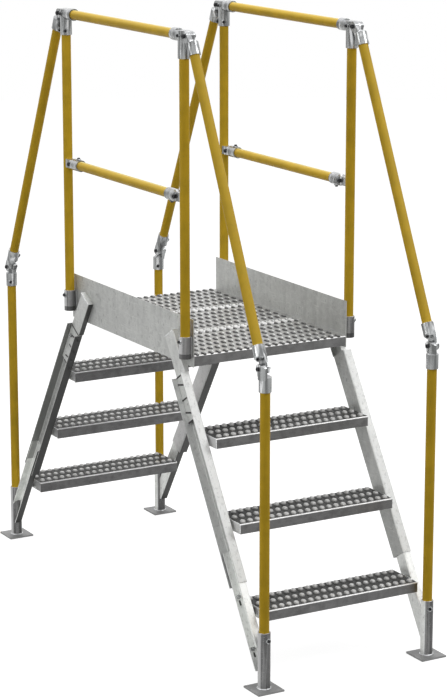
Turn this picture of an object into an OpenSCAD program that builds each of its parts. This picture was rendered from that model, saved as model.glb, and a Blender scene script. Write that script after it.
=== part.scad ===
// Crossover platform: two short flights of steps up to a raised deck, with pipe handrails.
// Sizes in mm, +Z up, X along the walk, Y across it, origin on the floor at the centre.

/* [Deck and steps] */
// Clear width between the two sides
stair_w = 601; // [450:1:900]
// Height of the deck's walking face
deck_h = 1016; // [990:1:1050]
// Length of the deck along the walk
deck_l = 914; // [700:1:1300]
// Number of planks in the deck
deck_planks = 3; // [3:1:5]
// Gap left between two planks
plank_gap = 1; // [0.5:0.5:4]
// Rise from one step to the next
rise = 253.5; // [240:0.5:262]
// Run from one step to the next
run = 159.5; // [145:0.5:185]
// Level distance from the deck's end to the first nosing, beyond one run
step_lead = -10; // [-30:1:40]
// Depth of a step from nosing to back edge
tread_d = 155; // [130:1:240]
// How far the nosing stands in front of the stringer, measured level
nosing = 52; // [30:1:90]
// Sheet thickness of steps and deck planks
sheet_t = 3; // [2:0.5:5]
// Depth of the turned-down edges of steps and planks
lip_h = 35; // [25:1:60]
// How much deeper a step's back edge hangs
back_drop = 3; // [1:1:20]
// Width of the return under a turned-down edge
return_w = 14; // [8:1:25]

/* [Sides] */
// Plate thickness of side panels and channels
plate_t = 3; // [2.5:0.5:6]
// Inside bend radius of folded plate and sheet
bend_r = 2; // [0.5:0.5:4]
// Height of the toe board above the deck
toe_h = 123; // [90:1:180]
// Depth of a side panel below the deck's face
skirt_h = 41; // [30:1:70]
// Depth of a stringer channel
str_d = 73; // [60:1:110]
// Width of a stringer over its flanges
str_w = 33; // [30:1:60]
// Gap from the outer face of a side panel out to the stringers' webs
str_out = 3.5; // [1:0.5:10]
// Drop from the deck's face to the top corner of a stringer
str_drop = 57; // [45:1:90]
// Height of a stringer's lower front corner above the bottom step
str_clear = 76; // [66:1:110]
// Gap between a stringer and the channel nested in it
nest_gap = 0.3; // [0.2:0.05:1]
// Width of a foot channel over its flanges
nest_w = 28; // [20:1:40]
// Distance from a side panel's outer face to a hanger's outer face
hanger_w = 20; // [17:1:28]
// Depth of a foot channel
foot_d = 55; // [40:1:90]
// Lap of the hanger inside the stringer
hanger_lap = 160; // [110:1:240]
// Length of the hanger above the stringer's end, along the slope
hanger_up = 152; // [90:1:170]
// Lap of the foot channel inside the stringer
foot_lap = 120; // [70:1:200]

/* [Handrail] */
// Outer diameter of the rail pipe
pipe_od = 33.4; // [26:0.1:42.4]
// Wall of the rail pipe
pipe_t = 3.4; // [2:0.1:5]
// Wall of the sleeves that hold the pipe
sleeve_t = 4.1; // [3:0.1:7]
// Radial gap between pipe and sleeve
fit_gap = 0.3; // [0.2:0.05:0.8]
// Height of the top rail's axis above the deck
rail_h = 1070; // [900:1:1150]
// Height of the mid rail's axis above the deck
mid_h = 535; // [400:1:650]
// Distance from a rail post's axis to the deck's end
post_inset = 20; // [10:1:80]
// Height of the socket that holds a rail post
socket_h = 75; // [50:1:110]
// Reach of the socket below the deck's face
socket_drop = 10; // [0:1:30]
// Length of a fitting's sleeve below the top rail's axis
cap_drop = 75; // [60:1:110]
// Length of a fitting's sleeve along the top rail
cap_reach = 67; // [50:1:100]
// Length of the flat-topped body of a corner fitting, from the rail post's axis
body_l = 35; // [25:1:45]
// Height of that flat top above the top rail's axis
body_h = 16; // [12:0.5:20]
// Distance from a rail post's axis to the outer pivot
clevis_x = 30; // [26:1:60]
// Height of the outer pivot above the top rail's axis
clevis_z = 0; // [-6:1:6]
// How far the sloped rail's axis passes outside the outer pivot
swivel_shift = 12; // [0:1:20]
// Start of the swivel sleeve below the outer pivot
swivel_stop = 27; // [24:1:45]
// Distance from the outer pivot to the far end of its sleeve
swivel_reach = 71; // [60:1:100]
// Height of the elbow pivot above the floor
elbow_h = 1079; // [950:1:1200]
// Level distance from the elbow pivot out to the foot post's axis
elbow_shift = 7; // [0:1:15]
// Start of the elbow's upper sleeve above its pivot
elbow_rise = 33; // [24:1:45]
// Distance from the elbow pivot to the far end of its upper sleeve
elbow_reach = 77; // [66:1:120]
// Start of the elbow's lower sleeve below its pivot
elbow_stop = 26; // [24:1:40]
// Distance from the elbow pivot to the lower end of its lower sleeve
elbow_drop = 75; // [60:1:110]
// Length of the sleeve at an end of the mid rail
mid_sleeve = 50; // [35:1:80]
// Gap between a rail post and the end of the mid rail's sleeve
mid_knuckle = 40; // [34:1:60]

/* [Feet] */
// How far the foot posts stand inside the plane of the rail posts
foot_in = 4; // [0:1:8]
// Side of a square base plate
base_w = 98; // [80:1:160]
// Thickness of a base plate
base_t = 6; // [4:1:15]
// Height at which the stringers' front line meets the foot sleeve
foot_join = 158; // [120:1:180]
// Height of the top of a foot sleeve
foot_h = 198; // [140:1:260]

/* [Hidden] */
$fn = 36;
steps = 3;
slope = atan(rise / run);
half_w = stair_w / 2;
panel_y = half_w + plate_t;
pipe_r = pipe_od / 2;
bore_r = pipe_r + fit_gap;
sleeve_r = bore_r + sleeve_t;
weld = 0.4;
post_y = panel_y + sleeve_r - weld;
post_x = deck_l / 2 - post_inset;
top_z = deck_h + rail_h;
mid_z = deck_h + mid_h;
skirt_z = deck_h - skirt_h;
hanger_d = str_d - 2 * plate_t - 2 * nest_gap;
step_z0 = deck_h - rise;
step_x0 = deck_l / 2 + run + step_lead;
str_z = deck_h - str_drop;
str_l = (str_z - str_clear - step_z0 + (steps - 1) * rise) / sin(slope);
foot_x = front_x(foot_join) + sleeve_r;
foot_y = post_y - foot_in;
str_y = panel_y + str_out;
seat_z = deck_h - socket_drop + plate_t;
pivot_x = post_x + clevis_x;
pivot_z = top_z + clevis_z;
elbow_x = foot_x - elbow_shift;
rail_dx = elbow_x - pivot_x;
rail_dz = pivot_z - elbow_h;
pivot_span = sqrt(rail_dx * rail_dx + rail_dz * rail_dz);
rail_slope = atan(rail_dz / rail_dx) + asin(swivel_shift / pivot_span);
rail_span = pivot_span * cos(asin(swivel_shift / pivot_span));

lug_t = 17;
lug_r = 16.5;
neck_h = 6;
neck_r = 13;
cap_t = 4;
wall_gap = 3;
pin_r = 6;
pad_w = 36;
pad_h = 20;
knuckle_t = 14;
knuckle_r = 15;
rail_end = post_x - body_l - wall_gap;
mid_end = post_x - pipe_r - mid_knuckle - cap_t;
plank_l = (deck_l - (deck_planks - 1) * plank_gap) / deck_planks;

// Level position of the stringers' front face at height z.
function front_x(z) = step_x0 - nosing + (step_z0 - z) * run / rise;

// Turns the near-right quarter into any of the four: sx is 1 near and -1 far, sy is 1 right.
module place(sx, sy) {
    if (sx > 0 && sy > 0) children();
    if (sx < 0 && sy > 0) mirror([1, 0, 0]) children();
    if (sx > 0 && sy < 0) mirror([0, 1, 0]) children();
    if (sx < 0 && sy < 0) turn_back() children();
}

// Turns a near piece half a turn about the middle of the deck, to the far end's other side.
module turn_back() {
    rotate([0, 0, 180]) children();
}

// Moves to the top front corner of a stringer, with +X down the slope and +Z square to it.
module on_slope() {
    translate([front_x(str_z), 0, str_z])
        rotate([0, slope, 0])
            children();
}

// Rectangle with its two corners at x = 0 rounded.
module round_two(w, d, r) {
    translate([r, 0]) square([w - r, d]);
    translate([0, r]) square([w, d - 2 * r]);
    translate([r, r]) circle(r);
    translate([r, d - r]) circle(r);
}

// Folded channel along +X: web against y = 0, flanges towards +Y, front face at z = 0.
module channel(l, w, d) {
    translate([0, 0, -d])
        rotate([90, 0, 90])
            linear_extrude(l)
                difference() {
                    round_two(w, d, bend_r + plate_t);
                    translate([plate_t, plate_t]) round_two(w, d - 2 * plate_t, bend_r);
                }
}

// Side view of a folded pan: back edge at x = 0, front edge at x = l, top at y = h.
module pan_outline(l, h, r) {
    translate([r, h - r]) circle(r);
    translate([l - r, h - r]) circle(r);
    translate([r, 0]) square([l - 2 * r, h]);
    square([l, h - r]);
}

// Step or plank: top face at z = 0, x from 0 to l, closed at both ends, open below.
module pan(l) {
    inner = l - 2 * sheet_t;
    slot = inner - 2 * return_w;
    translate([0, half_w, -lip_h])
        rotate([90, 0, 0])
            difference() {
                linear_extrude(2 * half_w) pan_outline(l, lip_h, bend_r + sheet_t);
                translate([sheet_t, sheet_t, sheet_t])
                    linear_extrude(2 * half_w - 2 * sheet_t)
                        pan_outline(inner, lip_h - 2 * sheet_t, bend_r);
                translate([sheet_t + return_w, -1, sheet_t])
                    cube([slot, sheet_t + 2, 2 * half_w - 2 * sheet_t]);
            }
}

// Straight pipe standing on z = 0.
module pipe(l) {
    difference() {
        cylinder(h = l, r = pipe_r);
        translate([0, 0, -1]) cylinder(h = l + 2, r = pipe_r - pipe_t);
    }
}

// Toe board and skirt in one plate, with the two sockets of its rail posts welded on.
module side_panel() {
    color([0.74, 0.75, 0.74])
        difference() {
            union() {
                translate([-deck_l / 2, half_w, skirt_z])
                    cube([deck_l, plate_t, skirt_h + toe_h]);
                for (s = [-1, 1])
                    translate([s * post_x, post_y, deck_h - socket_drop])
                        cylinder(h = socket_h, r = sleeve_r);
            }
            for (s = [-1, 1])
                translate([s * post_x, post_y, seat_z])
                    cylinder(h = socket_h, r = bore_r);
        }
}

// Channel with its flanges welded to the side panel's outer face. Below the panel the flanges
// are cut back so that it slides down into a stringer.
module hanger() {
    rest_y = str_out + plate_t + nest_gap;
    color([0.72, 0.73, 0.72])
        translate([0, panel_y, 0])
            on_slope()
                difference() {
                    translate([-hanger_up, hanger_w, -plate_t - nest_gap])
                        mirror([0, 1, 0])
                            channel(hanger_up + hanger_lap, hanger_w, hanger_d);
                    translate([-nest_gap, -1, -str_d])
                        cube([hanger_lap + 1, rest_y + 1, str_d]);
                }
}

// Side channel of a flight, open outwards, whose web carries the ends of the steps.
module stringer() {
    color([0.74, 0.75, 0.75])
        translate([0, str_y, 0])
            on_slope()
                channel(str_l, str_w, str_d);
}

// Foot: channel up into the stringer, sleeve for the foot post and base plate, all welded.
module foot() {
    reach = str_l - foot_lap;
    tip_z = base_t + 52;
    color([0.70, 0.71, 0.71])
        difference() {
            union() {
                intersection() {
                    translate([0, str_y + plate_t, 0])
                        on_slope()
                            translate([reach, 0, -plate_t - nest_gap])
                                channel(2 * foot_h + foot_lap, nest_w, foot_d);
                    translate([0, 0, tip_z])
                        cube([foot_x - sleeve_r / 2, str_y + str_w, deck_h]);
                }
                translate([foot_x, foot_y, 0]) cylinder(h = foot_h, r = sleeve_r);
                translate([foot_x - base_w / 2, foot_y - base_w / 2, 0])
                    cube([base_w, base_w, base_t]);
            }
            translate([foot_x, foot_y, base_t]) cylinder(h = foot_h, r = bore_r);
        }
}

// Deck plank number i, counted from the far end.
module deck_plank(i) {
    color([0.50, 0.51, 0.52])
        translate([-deck_l / 2 + i * (plank_l + plank_gap), 0, deck_h])
            pan(plank_l);
}

// Step number i, counted from the top, with a pad on each end that bears on the stringer's web.
// The bottom step lies below the stringers, so its pads reach the foot channels behind them.
module step(i) {
    low = i == steps - 1;
    top = step_z0 - i * rise;
    back_x = step_x0 + i * run - tread_d;
    pad_y = low ? str_y + plate_t : str_y;
    pad_z = top - lip_h / 2;
    pad_x = front_x(pad_z) - (low ? plate_t + nest_gap + foot_d / 2 : str_d / 2) / sin(slope);
    color([0.48, 0.49, 0.50])
        union() {
            translate([back_x, 0, top]) pan(tread_d);
            translate([back_x, -half_w, top - lip_h - back_drop])
                cube([sheet_t, 2 * half_w, back_drop + 1]);
            for (s = [-1, 1])
                translate([pad_x, s * (pad_y + half_w - 1) / 2, pad_z])
                    cube([pad_w, pad_y - half_w + 1, pad_h], center = true);
        }
}

// Pipe from its socket on the side panel up into the corner fitting.
module rail_post() {
    color([0.85, 0.63, 0.13])
        translate([post_x, post_y, seat_z])
            pipe(top_z - bore_r - wall_gap - seat_z);
}

// Pipe along the top of the handrail.
module top_rail() {
    color([0.85, 0.63, 0.13])
        translate([-rail_end, post_y, top_z])
            rotate([0, 90, 0])
                pipe(2 * rail_end);
}

// Pipe at half height, held clear of the posts by its two end fittings.
module mid_rail() {
    color([0.85, 0.63, 0.13])
        translate([-mid_end, post_y, mid_z])
            rotate([0, 90, 0])
                pipe(2 * mid_end);
}

// Half of a swivel: sleeve along +Z from z = start, its axis at x = dx and y = dy, and a lug
// around a pivot at the origin, in y on the given side (1 or -1) of the plane y = 0.
module swivel_half(start, reach, dx, dy, side) {
    near = side > 0 ? lug_t : -nest_gap / 2;
    neck = start - neck_h;
    difference() {
        union() {
            translate([dx, dy, start]) cylinder(h = reach - start, r = sleeve_r);
            translate([dx, dy, neck]) cylinder(h = neck_h, r1 = neck_r, r2 = sleeve_r);
            translate([0, near, 0])
                rotate([90, 0, 0])
                    linear_extrude(lug_t - nest_gap / 2) {
                        circle(lug_r);
                        polygon([[-lug_r, 0], [lug_r, 0], [dx + neck_r, start], [dx - neck_r, start]]);
                    }
        }
        translate([dx, dy, start + cap_t]) cylinder(h = reach, r = bore_r);
    }
}

// Pin through both lugs of a swivel, flush with their outer faces.
module swivel_pin() {
    rotate([90, 0, 0])
        translate([0, 0, -lug_t])
            cylinder(h = 2 * lug_t, r = pin_r);
}

// Flat-topped body of a corner fitting: post sleeve, rail sleeve and the fixed lug.
module corner_body() {
    difference() {
        union() {
            translate([post_x, 0, top_z - cap_drop]) cylinder(h = cap_drop + body_h, r = sleeve_r);
            translate([post_x - cap_reach, 0, top_z])
                rotate([0, 90, 0])
                    cylinder(h = cap_reach - body_l, r = sleeve_r);
            intersection() {
                translate([post_x - body_l - 1, 0, top_z])
                    rotate([0, 90, 0])
                        cylinder(h = body_l + 1, r = sleeve_r);
                translate([post_x - body_l - 1, -sleeve_r, top_z - sleeve_r])
                    cube([body_l + 1, 2 * sleeve_r, sleeve_r + body_h]);
            }
            translate([post_x, nest_gap / 2, pivot_z - body_h])
                cube([clevis_x, lug_t - nest_gap / 2, 2 * body_h]);
            translate([pivot_x, lug_t, pivot_z])
                rotate([90, 0, 0])
                    cylinder(h = lug_t - nest_gap / 2, r = body_h);
        }
        translate([post_x, 0, top_z - cap_drop - 1])
            cylinder(h = cap_drop + 1 - bore_r - wall_gap, r = bore_r);
        translate([post_x - cap_reach - 1, 0, top_z])
            rotate([0, 90, 0])
                cylinder(h = cap_reach + 1 - body_l, r = bore_r);
    }
}

// Locked fitting on top of a near rail post; sy is 1 right and -1 left.
module corner_fitting(sy) {
    color([0.66, 0.67, 0.68])
        translate([0, sy * post_y, 0])
            union() {
                corner_body();
                translate([pivot_x, 0, pivot_z])
                    rotate([0, 90 + rail_slope, 0]) {
                        swivel_half(swivel_stop, swivel_reach, -swivel_shift, 0, -1);
                        swivel_pin();
                    }
            }
}

// Locked elbow between a near foot post and the sloped rail above it; sy is 1 right and -1 left.
module elbow(sy) {
    color([0.66, 0.67, 0.68])
        translate([elbow_x, sy * post_y, elbow_h])
            union() {
                rotate([0, rail_slope - 90, 0]) {
                    swivel_half(elbow_rise, elbow_reach, 0, 0, 1);
                    swivel_pin();
                }
                mirror([0, 0, 1])
                    swivel_half(elbow_stop, elbow_drop, elbow_shift, -sy * foot_in, -1);
            }
}

// Pipe between the pivots of a corner fitting and an elbow.
module sloped_rail() {
    from = swivel_stop + cap_t;
    to = rail_span - elbow_rise - cap_t;
    color([0.85, 0.63, 0.13])
        translate([pivot_x, post_y, pivot_z])
            rotate([0, 90 + rail_slope, 0])
                translate([-swivel_shift, 0, from])
                    pipe(to - from);
}

// Pipe from the base plate up into the elbow.
module foot_post() {
    color([0.85, 0.63, 0.13])
        translate([foot_x, foot_y, base_t])
            pipe(elbow_h - elbow_stop - cap_t - base_t);
}

// Sleeve on the mid rail's end, with a pinned knuckle whose hollowed end bears on the rail post.
module mid_fitting() {
    near = post_x - pipe_r - mid_knuckle;
    eye_x = near + knuckle_r;
    color([0.66, 0.67, 0.68])
        difference() {
            union() {
                translate([near - mid_sleeve, post_y, mid_z])
                    rotate([0, 90, 0])
                        cylinder(h = mid_sleeve, r = sleeve_r);
                translate([near, post_y, mid_z])
                    rotate([0, 90, 0])
                        cylinder(h = neck_h, r1 = sleeve_r, r2 = neck_r);
                translate([eye_x, post_y + knuckle_t, mid_z])
                    rotate([90, 0, 0])
                        cylinder(h = 2 * knuckle_t, r = knuckle_r);
                translate([eye_x, post_y - knuckle_t, mid_z - knuckle_r])
                    cube([post_x - pipe_r / 2 - eye_x, 2 * knuckle_t, 2 * knuckle_r]);
            }
            translate([near - mid_sleeve - 1, post_y, mid_z])
                rotate([0, 90, 0])
                    cylinder(h = mid_sleeve + 1 - cap_t, r = bore_r);
            translate([post_x, post_y, mid_z - sleeve_r])
                cylinder(h = 2 * sleeve_r, r = pipe_r);
        }
}

place(1, -1) side_panel();  // side_panel_left
place(1, 1) side_panel();  // side_panel_right
place(1, -1) hanger();  // hanger_near_left
place(1, 1) hanger();  // hanger_near_right
place(-1, -1) hanger();  // hanger_far_left
place(-1, 1) hanger();  // hanger_far_right
place(1, -1) stringer();  // stringer_near_left
place(1, 1) stringer();  // stringer_near_right
place(-1, -1) stringer();  // stringer_far_left
place(-1, 1) stringer();  // stringer_far_right
place(1, -1) foot();  // foot_near_left
place(1, 1) foot();  // foot_near_right
place(-1, -1) foot();  // foot_far_left
place(-1, 1) foot();  // foot_far_right
deck_plank(0);  // deck_plank_far
for (i = [1:deck_planks - 2]) deck_plank(i);  // deck_plank_middle
deck_plank(deck_planks - 1);  // deck_plank_near
step(0);  // step_near_top
step(1);  // step_near_middle
step(2);  // step_near_bottom
place(-1, 1) step(0);  // step_far_top
place(-1, 1) step(1);  // step_far_middle
place(-1, 1) step(2);  // step_far_bottom
place(1, -1) rail_post();  // rail_post_near_left
place(1, 1) rail_post();  // rail_post_near_right
place(-1, -1) rail_post();  // rail_post_far_left
place(-1, 1) rail_post();  // rail_post_far_right
place(1, -1) top_rail();  // top_rail_left
place(1, 1) top_rail();  // top_rail_right
place(1, -1) mid_rail();  // mid_rail_left
place(1, 1) mid_rail();  // mid_rail_right
for (s = [-1, 1]) place(s, -1) mid_fitting();  // mid_fittings_left
for (s = [-1, 1]) place(s, 1) mid_fitting();  // mid_fittings_right
place(1, -1) sloped_rail();  // sloped_rail_near_left
place(1, 1) sloped_rail();  // sloped_rail_near_right
place(-1, -1) sloped_rail();  // sloped_rail_far_left
place(-1, 1) sloped_rail();  // sloped_rail_far_right
place(1, -1) foot_post();  // foot_post_near_left
place(1, 1) foot_post();  // foot_post_near_right
place(-1, -1) foot_post();  // foot_post_far_left
place(-1, 1) foot_post();  // foot_post_far_right
corner_fitting(-1);  // corner_near_left
corner_fitting(1);  // corner_near_right
turn_back() corner_fitting(1);  // corner_far_left
turn_back() corner_fitting(-1);  // corner_far_right
elbow(-1);  // elbow_near_left
elbow(1);  // elbow_near_right
turn_back() elbow(1);  // elbow_far_left
turn_back() elbow(-1);  // elbow_far_right
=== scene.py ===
"""Looks of the crossover platform: finishes, anti-slip buttons, screws, bolts, welds and studio."""

import math

import bmesh
import bpy
from bpy.props import FloatProperty, FloatVectorProperty, IntProperty, PointerProperty
from mathutils import Matrix, Vector


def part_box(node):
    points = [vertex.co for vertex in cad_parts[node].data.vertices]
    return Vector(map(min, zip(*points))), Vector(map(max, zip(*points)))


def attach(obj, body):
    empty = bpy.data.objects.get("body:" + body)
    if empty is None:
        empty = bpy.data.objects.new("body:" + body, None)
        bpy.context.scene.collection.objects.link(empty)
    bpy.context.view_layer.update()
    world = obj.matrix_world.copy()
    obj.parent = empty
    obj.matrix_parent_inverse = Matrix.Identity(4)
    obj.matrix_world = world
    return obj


bl_info = {
    "name": "Crossover platform",
    "version": (1, 0, 0),
    "blender": (4, 5, 0),
    "location": "View3D > Sidebar > Platform",
    "description": "Dresses the frame of a crossover platform and sets it in a plain studio",
    "category": "Object",
}

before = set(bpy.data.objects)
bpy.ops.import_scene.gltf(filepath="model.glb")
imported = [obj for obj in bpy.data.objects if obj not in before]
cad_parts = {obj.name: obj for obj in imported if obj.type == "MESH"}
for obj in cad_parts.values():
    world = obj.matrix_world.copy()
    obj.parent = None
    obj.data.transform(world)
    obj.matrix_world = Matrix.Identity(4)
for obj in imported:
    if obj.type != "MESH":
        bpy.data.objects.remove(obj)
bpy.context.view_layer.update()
ENDS = ("near", "far")
SIDES = ("left", "right")
QUARTERS = [(end, side) for end in ENDS for side in SIDES]
STEP_NAMES = ("top", "middle", "bottom")
PLANK_NAMES = ("near", "middle", "far")

# How steeply a button's crown bends, and how far its top is drawn in.
STEP_CROWN = (4.5, 0.34)
DECK_CROWN = (2.6, 0.52)
DOT_CROWN = (2.0, 0.6)
HOLE_CROWN = (1.0, 0.0)

# Places along the walk and up of bolts and slots, on the near right quarter.
HANGER_BOLTS = ((0.434, 0.911),)
FOOT_BOLTS = ((0.7985, 0.272), (0.8930, 0.122))
SQUARE_SLOTS = ((0.4253, 0.8586), (0.4706, 0.7924), (0.399, 0.937))
LEVEL_SLOTS = ((0.400, 0.9053), (0.4565, 0.8211))
FOOT_SLOTS = ((0.8095, 0.2545), (0.9040, 0.1045))
LEVEL_SLOT_WAY = Vector((0.974, 0, 0.227))

# Level ways that set screws look. The slanted one is the near flight's, turned half round for the
# far flight, and the foot's is the near right quarter's, mirrored to the others.
SLANTED_SCREW = (-0.85, 0.53)
FOOT_SCREW = (0.97, -0.17)
NEAR_ELBOW_SCREW = Vector((0.6, -0.8, 0))
FAR_ELBOW_SCREW = Vector((0, 1, 0))
LEFT = Vector((0, -1, 0))

# Gloss of the upright faces of steps and planks, and their share of metal.
TREAD_GLOSS = 0.5

# How far the mask of a tube and that of a base plate reach past their metal.
TUBE_EDGE = 0.0003
PLATE_EDGE = 0.0002

# Share of a head's face that its socket takes, and a boss's radius over that of its screw.
BOSS_SOCKET, SCREW_SOCKET, BOLT_SOCKET = 0.6, 0.55, 0.5
BOSS_SPREAD = 1.75

# A swivel's cheek: how far it is sunk in its sleeve, and how far it passes the pin as a share
# of its bulge.
CHEEK_SUNK = 0.0003
CHEEK_ROUND = 0.72

# Share of its thickness by which a hanger's cap is sunk in the hanger's end.
CAP_SUNK = 0.3

# How far the middle lines of the weld beads lie from the corners of the metal.
BASE_BEAD_RISE, BASE_BEAD_OUT = 0.001, 0.0008
MOUTH_BEAD_IN = 0.0016
TOE_BEAD_OUT, TOE_BEAD_SHORT = 0.0042, 0.002
STEP_BEAD_IN = Vector((0.001, 0.0004, 0.0008))
STEP_BEAD_BACK = 0.002
NOSING_BEND = 0.004


# --- Places worked out from the frame ---------------------------------------------------------


def sizes():
    return bpy.context.scene.platform_sizes


def colours():
    return bpy.context.scene.platform_colours


def risen(height):
    return Vector((0, 0, height))


def middle(node):
    """Centre of a CAD node's box."""
    low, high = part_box(node)
    return (low + high) / 2


def ways(end, side):
    """Directions outward along the walk and across it for one quarter of the platform."""
    return (1 if end == "near" else -1), (1 if side == "right" else -1)


def post_axis(end, side, post="rail_post"):
    """Level position of a post's axis."""
    centre = middle(f"{post}_{end}_{side}")
    return Vector((centre.x, centre.y, 0))


def foot_axis(end, side):
    return post_axis(end, side, "foot_post")


def rail_height():
    return middle("top_rail_left").z


def deck_height():
    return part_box("deck_plank_middle")[1].z


def deck_edge():
    """Ends of the planks and steps, from the middle of the walk."""
    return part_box("deck_plank_near")[1].y


def hanger_web():
    """Outer faces of the hangers, from the middle of the walk."""
    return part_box("hanger_near_right")[1].y


def hanger_end(end, side):
    """Outer corners of a hanger's upper end: the lower one behind and the upper one ahead."""
    out, across = ways(end, side)
    vertices = [vertex.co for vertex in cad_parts[f"hanger_{end}_{side}"].data.vertices]
    ends = min(vertices, key=lambda place: place.x * out), max(vertices, key=lambda place: place.z)
    return [Vector((place.x, across * hanger_web(), place.z)) for place in ends]


def slope_ways():
    """Unit vectors down the near flight and square to it, up and ahead."""
    fall = Vector((sizes().step_run, 0, -sizes().step_rise)).normalized()
    return fall, Vector((-fall.z, 0, fall.x))


def turned(way, out):
    """A vector of the near flight's slope, turned to the flight that out leads to."""
    return Vector((way.x * out, 0, way.z))


def quarter_points(points, y):
    """Points along the walk and up, at y on the near right quarter, repeated in all four."""
    found = []
    for end, side in QUARTERS:
        out, across = ways(end, side)
        found += [(Vector((x * out, y * across, z)), out, across) for x, z in points]
    return found


def corner_pivot(end, side):
    """Centre of a corner fitting's pin."""
    out, _ = ways(end, side)
    return post_axis(end, side) + Vector((out * sizes().pivot_ahead, 0, rail_height()))


def elbow_pivot(end, side):
    """Centre of an elbow's pin."""
    out, _ = ways(end, side)
    level = foot_axis(end, side).x - out * sizes().elbow_back
    return Vector((level, post_axis(end, side).y, sizes().elbow_height))


def rail_direction(end, side):
    """Unit vector down a sloped rail, whose axis passes beside its corner fitting's pin."""
    out, _ = ways(end, side)
    span = elbow_pivot(end, side) - corner_pivot(end, side)
    lean = math.asin(sizes().rail_offset / span.length)
    angle = math.atan2(-span.z, abs(span.x)) + lean
    return Vector((out * math.cos(angle), 0, -math.sin(angle)))


def rail_start(end, side):
    """Point on a sloped rail's axis beside its corner fitting's pin."""
    way = rail_direction(end, side)
    square = Vector((way.z, 0, -way.x))
    if square.z > 0:
        square = -square
    return corner_pivot(end, side) + square * sizes().rail_offset


# --- Nodes ------------------------------------------------------------------------------------


class Value:
    """A node's output that varies from place to place; Python's operators add Math nodes to it."""

    def __init__(self, sheet, socket):
        self.sheet = sheet
        self.socket = socket

    def __add__(self, other):
        return self.sheet.maths("ADD", self, other)

    __radd__ = __add__

    def __sub__(self, other):
        return self.sheet.maths("SUBTRACT", self, other)

    def __rsub__(self, other):
        return self.sheet.maths("SUBTRACT", other, self)

    def __neg__(self):
        return 0.0 - self

    def __mul__(self, other):
        return self.sheet.maths("MULTIPLY", self, other)

    __rmul__ = __mul__

    def above(self, limit):
        """1 where it is over the limit, 0 elsewhere."""
        return self.sheet.maths("GREATER_THAN", self, limit)

    def below(self, limit):
        """1 where it is under the limit, 0 elsewhere."""
        return self.sheet.maths("LESS_THAN", self, limit)

    def clamped(self, low, high):
        """Runs from 0 at low to 1 at high."""
        settings = {"interpolation_type": "SMOOTHSTEP"}
        return self.sheet.node("ShaderNodeMapRange", settings, {0: self, 1: low, 2: high})


class Sheet:
    """The node tree of one material, of the world or of one kind of repeated piece."""

    def __init__(self, tree):
        self.tree = tree
        self.tree.nodes.clear()

    def add(self, kind, settings=None, values=None):
        """Adds a node, sets its settings first and then the values or links of its sockets."""
        node = self.tree.nodes.new(kind)
        for name, setting in (settings or {}).items():
            setattr(node, name, setting)
        for name, value in (values or {}).items():
            if isinstance(value, Value):
                self.tree.links.new(value.socket, node.inputs[name])
            else:
                node.inputs[name].default_value = value
        return node

    def node(self, kind, settings=None, values=None, output=0):
        """Adds a node and gives one of its outputs."""
        return Value(self, self.add(kind, settings, values).outputs[output])

    def maths(self, operation, *terms):
        return self.node("ShaderNodeMath", {"operation": operation}, dict(enumerate(terms)))

    def vectors(self, operation, *terms, output=0):
        settings = {"operation": operation}
        return self.node("ShaderNodeVectorMath", settings, dict(enumerate(terms)), output)

    def part(self, vector, axis):
        """One coordinate of a vector: 0 along the walk, 1 across it to the right, 2 up."""
        return self.node("ShaderNodeSeparateXYZ", None, {0: vector}, axis)

    def coords(self):
        return self.node("ShaderNodeTexCoord", output="Object")

    def height(self):
        return self.part(self.coords(), 2)

    def folded(self):
        """Object coordinates without their signs, as if every quarter were the near right one."""
        return self.vectors("ABSOLUTE", self.coords())

    def facing(self, axis):
        """How far a face looks along an axis: 1 straight, 0 square to it, -1 the other way."""
        return self.part(self.node("ShaderNodeNewGeometry", output="Normal"), axis)

    def upward(self):
        return self.facing(2)

    def rightward(self):
        return self.facing(1)

    def sideways(self):
        """How far a face looks across the walk, to either side."""
        return self.maths("ABSOLUTE", self.facing(1))

    def noise(self, scale, detail=3.0, rough=0.55, stretch=(1, 1, 1)):
        values = {"Vector": self.place(stretch), "Scale": scale, "Detail": detail, "Roughness": rough}
        return self.node("ShaderNodeTexNoise", None, values)

    def place(self, stretch):
        """Object coordinates, stretched along the axes."""
        return self.node("ShaderNodeMapping", None, {"Vector": self.coords(), "Scale": stretch})

    def cells(self, scale):
        """A random number for each cell of a Voronoi pattern."""
        values = {"Vector": self.coords(), "Scale": scale}
        colour = self.node("ShaderNodeTexVoronoi", None, values, "Color")
        return self.node("ShaderNodeSeparateColor", None, {"Color": colour})

    def mix(self, factor, first, second):
        """Blends two colours, from the first at 0 to the second at 1."""
        settings = {"data_type": "RGBA", "clamp_factor": True}
        mixer = self.add("ShaderNodeMix", settings, {0: factor})
        for index, colour in ((6, first), (7, second)):
            if isinstance(colour, Value):
                self.tree.links.new(colour.socket, mixer.inputs[index])
            else:
                mixer.inputs[index].default_value = (*colour, 1.0)
        return Value(self, mixer.outputs[2])

    def layers(self, tone, *coats):
        """Lays colours over a tone one after the other, each as thick as its mask."""
        for mask, colour in coats:
            tone = self.mix(mask, tone, colour)
        return tone

    def bump(self, height, strength, distance):
        values = {"Height": height, "Strength": strength, "Distance": distance}
        return self.node("ShaderNodeBump", None, values)


def principled(name, build):
    """New material: build(sheet) gives the values of its Principled shader's sockets."""
    material = bpy.data.materials.new(name)
    material.use_nodes = True
    sheet = Sheet(material.node_tree)
    shader = sheet.node("ShaderNodeBsdfPrincipled", None, build(sheet))
    sheet.add("ShaderNodeOutputMaterial", None, {"Surface": shader})
    return material


def scaled(colour, factor):
    return tuple(min(channel * factor, 1.0) for channel in colour)


def finish(build):
    """The material of a finish, made the first time it is asked for."""
    return bpy.data.materials.get(build.__name__) or principled(build.__name__, build)


# --- Finishes ---------------------------------------------------------------------------------


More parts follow.
